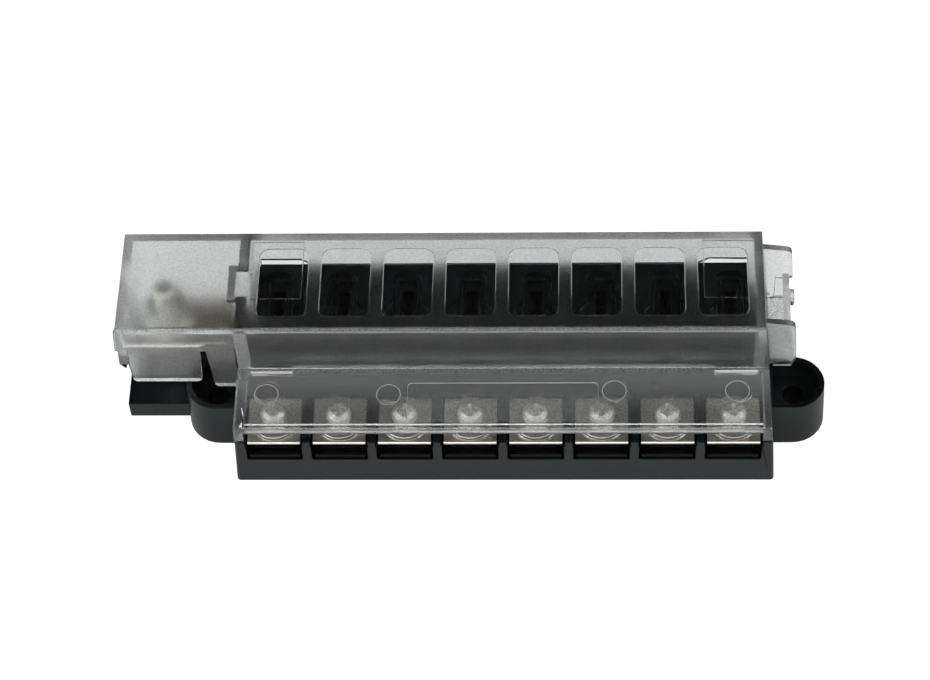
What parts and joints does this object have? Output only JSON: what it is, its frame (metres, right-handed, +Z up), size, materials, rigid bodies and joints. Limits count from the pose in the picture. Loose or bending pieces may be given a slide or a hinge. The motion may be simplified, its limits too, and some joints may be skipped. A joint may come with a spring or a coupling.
{
  "type": "fuse block",
  "caption": "Fuse block for blade fuses: black moulded base with ears, screw terminals and a feed stud, and a clear lift-off cover with a wire flap.",
  "frame": {"origin": "on the flat underside, midway between the two mounting holes", "axes": "+X along the row of fuses towards the right end, +Y from the terminals towards the rear wall, +Z up from the mounting face"},
  "size_m": [0.1739, 0.0487, 0.0389],
  "materials": {
    "black_moulding": "semi-matt black moulded plastic",
    "clear_moulding": "clear plastic with frosted faces and polished windows",
    "nickel_plate": "nickel plate, satin",
    "zinc_steel": "zinc-plated steel",
    "bar_brass": "plain brass, slightly dulled"
  },
  "bodies": {
    "housing": {"base_housing": "black_moulding", "bus_bar": "bar_brass", "feed_stud": "zinc_steel", "feed_flat_washer": "nickel_plate", "feed_spring_washer": "zinc_steel", "terminal_strip_1": "nickel_plate", "terminal_strip_2": "nickel_plate", "terminal_strip_3": "nickel_plate", "terminal_strip_4": "nickel_plate", "terminal_strip_5": "nickel_plate", "terminal_strip_6": "nickel_plate", "terminal_strip_7": "nickel_plate", "terminal_strip_8": "nickel_plate", "flat_washer_1": "nickel_plate", "flat_washer_2": "nickel_plate", "flat_washer_3": "nickel_plate", "flat_washer_4": "nickel_plate", "flat_washer_5": "nickel_plate", "flat_washer_6": "nickel_plate", "flat_washer_7": "nickel_plate", "flat_washer_8": "nickel_plate", "spring_washer_1": "zinc_steel", "spring_washer_2": "zinc_steel", "spring_washer_3": "zinc_steel", "spring_washer_4": "zinc_steel", "spring_washer_5": "zinc_steel", "spring_washer_6": "zinc_steel", "spring_washer_7": "zinc_steel", "spring_washer_8": "zinc_steel", "clamp_nut_1": "zinc_steel", "clamp_nut_2": "zinc_steel", "clamp_nut_3": "zinc_steel", "clamp_nut_4": "zinc_steel", "clamp_nut_5": "zinc_steel", "clamp_nut_6": "zinc_steel", "clamp_nut_7": "zinc_steel", "clamp_nut_8": "zinc_steel", "input_clip_1": "bar_brass", "input_clip_2": "bar_brass", "input_clip_3": "bar_brass", "input_clip_4": "bar_brass", "input_clip_5": "bar_brass", "input_clip_6": "bar_brass", "input_clip_7": "bar_brass", "input_clip_8": "bar_brass"},
    "cover": {"cover": "clear_moulding"},
    "feed_nut": {"feed_nut": "zinc_steel"},
    "screw_1": {"terminal_screw_1": "zinc_steel"},
    "screw_2": {"terminal_screw_2": "zinc_steel"},
    "screw_3": {"terminal_screw_3": "zinc_steel"},
    "screw_4": {"terminal_screw_4": "zinc_steel"},
    "screw_5": {"terminal_screw_5": "zinc_steel"},
    "screw_6": {"terminal_screw_6": "zinc_steel"},
    "screw_7": {"terminal_screw_7": "zinc_steel"},
    "screw_8": {"terminal_screw_8": "zinc_steel"}
  },
  "joints": [
    {"name": "cover_lift", "type": "slide", "parent": "housing", "child": "cover", "axis": [0, 0, 1], "range_m": [0, 0.03]},
    {"name": "feed_nut_turn", "type": "hinge", "parent": "housing", "child": "feed_nut", "pos_m": [-0.084, 0.018, 0.0177], "axis": [0, 0, 1], "range_deg": [0, 3240]},
    {"name": "screw_turn_1", "type": "hinge", "parent": "housing", "child": "screw_1", "pos_m": [-0.056, -0.0111, 0.0173], "axis": [0, 0, 1], "range_deg": [0, 1800]},
    {"name": "screw_turn_2", "type": "hinge", "parent": "housing", "child": "screw_2", "pos_m": [-0.04, -0.0111, 0.0173], "axis": [0, 0, 1], "range_deg": [0, 1800]},
    {"name": "screw_turn_3", "type": "hinge", "parent": "housing", "child": "screw_3", "pos_m": [-0.024, -0.0111, 0.0173], "axis": [0, 0, 1], "range_deg": [0, 1800]},
    {"name": "screw_turn_4", "type": "hinge", "parent": "housing", "child": "screw_4", "pos_m": [-0.008, -0.0111, 0.0173], "axis": [0, 0, 1], "range_deg": [0, 1800]},
    {"name": "screw_turn_5", "type": "hinge", "parent": "housing", "child": "screw_5", "pos_m": [0.008, -0.0111, 0.0173], "axis": [0, 0, 1], "range_deg": [0, 1800]},
    {"name": "screw_turn_6", "type": "hinge", "parent": "housing", "child": "screw_6", "pos_m": [0.024, -0.0111, 0.0173], "axis": [0, 0, 1], "range_deg": [0, 1800]},
    {"name": "screw_turn_7", "type": "hinge", "parent": "housing", "child": "screw_7", "pos_m": [0.04, -0.0111, 0.0173], "axis": [0, 0, 1], "range_deg": [0, 1800]},
    {"name": "screw_turn_8", "type": "hinge", "parent": "housing", "child": "screw_8", "pos_m": [0.056, -0.0111, 0.0173], "axis": [0, 0, 1], "range_deg": [0, 1800]}
  ]
}
